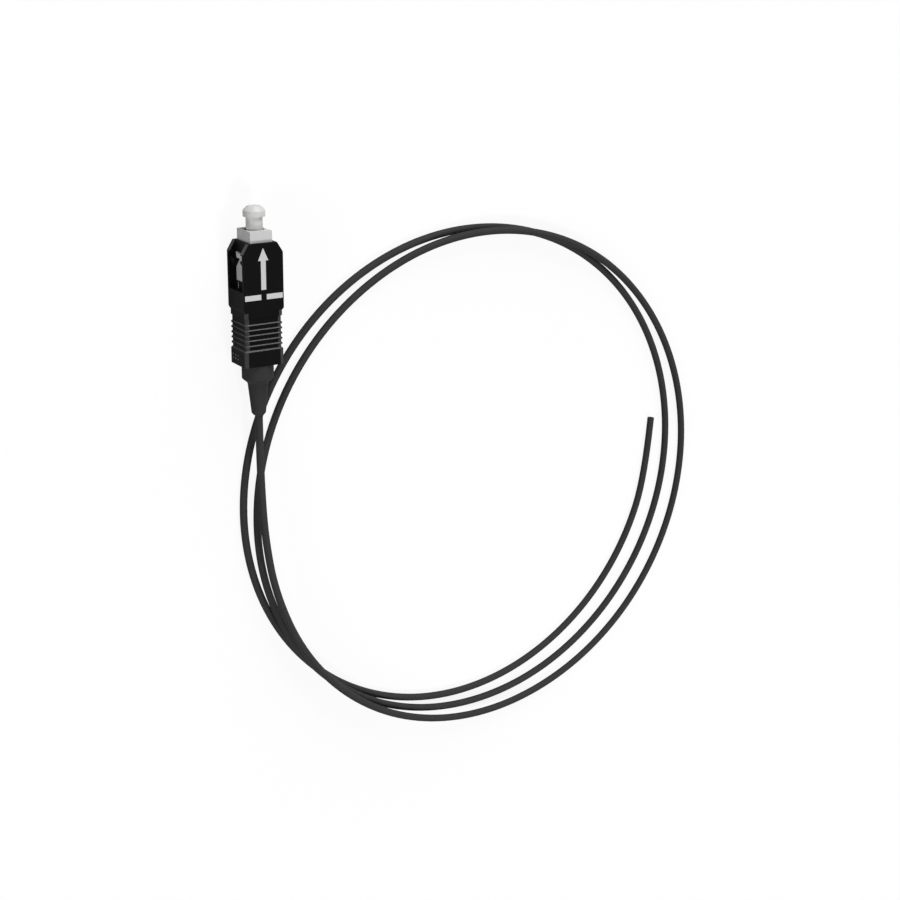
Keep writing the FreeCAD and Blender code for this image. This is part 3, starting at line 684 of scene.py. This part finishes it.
def make_witness_line():
    shape = bmesh.new()
    bmesh.ops.create_cube(shape, size=1)
    bmesh.ops.scale(shape, vec=(2 * LINE_PROUD, LINE_LENGTH, LINE_WIDTH), verts=shape.verts)
    bmesh.ops.translate(shape, vec=(LINE_FACE, LINE_FRONT - LINE_LENGTH / 2, LINE_HEIGHT), verts=shape.verts)
    round_edges(shape, LINE_ROUND)
    finished(shape, "witness_line", [INK], "grip", "light_print")


make_witness_line()

# Studio: a white floor, a key light from beyond the plug's tip, a fill over the cable, a weak side light
# and an even sky
KEY_DIRECTION = Vector((0.26, 0.89, 0.36))
KEY_STRENGTH = 3.4
KEY_ANGLE = 44
FILL_DIRECTION = Vector((0.12, -0.6, 0.79))
FILL_STRENGTH = 1.35
FILL_ANGLE = 12
SIDE_DIRECTION = Vector((-0.88, -0.15, 0.45))
SIDE_STRENGTH = 1.1
SIDE_ANGLE = 20
SKY_STRENGTH = 0.18
WHITE_STRENGTH = 1.0
# The floor is near white to the camera and in a gloss, but sends little light up to the plug. The camera sees
# it mostly as its own white, so that its shadows are faint.
FLOOR_HALF = 6.0
FLOOR_COLOUR = 0.9
FLOOR_BOUNCE = 0.12
FLOOR_SHARE = 0.9


def background_rays(tree):
    """1 for a ray from the camera, off a gloss or through glass, which sees the white background."""
    path = tree.nodes.new("ShaderNodeLightPath")
    seen = path.outputs["Is Camera Ray"]
    for kind in ("Is Glossy Ray", "Is Transmission Ray"):
        either = tree.nodes.new("ShaderNodeMath")
        either.operation = "MAXIMUM"
        tree.links.new(seen, either.inputs[0])
        tree.links.new(path.outputs[kind], either.inputs[1])
        seen = either.outputs[0]
    return seen


def make_floor():
    shape = bmesh.new()
    bmesh.ops.create_grid(shape, x_segments=1, y_segments=1, size=FLOOR_HALF)
    mesh = bpy.data.meshes.new("floor")
    shape.to_mesh(mesh)
    shape.free()
    finish = Finish("white_floor", Roughness=0.9, Specular_IOR_Level=0.0)
    seen = Shade(finish, background_rays(finish.material.node_tree))
    finish.tint(seen, grey(FLOOR_BOUNCE), grey(FLOOR_COLOUR))
    direct = finish.node("ShaderNodeLightPath")
    glow = finish.node("ShaderNodeEmission", {}, {"Strength": WHITE_STRENGTH})
    lit = Shade(finish, finish.shader.outputs[0])
    mix = finish.node("ShaderNodeMixShader", {}, {0: FLOOR_SHARE * direct, 1: lit, 2: glow})
    finish.material.node_tree.links.new(mix.socket, finish.nodes["Material Output"].inputs["Surface"])
    mesh.materials.append(finish.material)
    floor = bpy.data.objects.new("floor", mesh)
    bpy.context.scene.collection.objects.link(floor)


def make_sky():
    world = bpy.data.worlds.new("studio")
    bpy.context.scene.world = world
    world.use_nodes = True
    tree = world.node_tree
    sky = tree.nodes["Background"]
    sky.inputs["Color"].default_value = (1, 1, 1, 1)
    strength = tree.nodes.new("ShaderNodeMapRange")
    tree.links.new(background_rays(tree), strength.inputs["Value"])
    strength.inputs["To Min"].default_value = SKY_STRENGTH
    strength.inputs["To Max"].default_value = WHITE_STRENGTH
    tree.links.new(strength.outputs["Result"], sky.inputs["Strength"])


def make_light(name, direction, strength, angle):
    data = bpy.data.lights.new(name, "SUN")
    data.energy = strength
    data.angle = math.radians(angle)
    sun = bpy.data.objects.new(name, data)
    sun.rotation_euler = direction.to_track_quat("Z", "Y").to_euler()
    bpy.context.scene.collection.objects.link(sun)


make_floor()
make_sky()
make_light("key_light", KEY_DIRECTION, KEY_STRENGTH, KEY_ANGLE)
make_light("fill_light", FILL_DIRECTION, FILL_STRENGTH, FILL_ANGLE)
make_light("side_light", SIDE_DIRECTION, SIDE_STRENGTH, SIDE_ANGLE)
bpy.context.scene.view_settings.view_transform = "Standard"

bpy.context.view_layer.update()
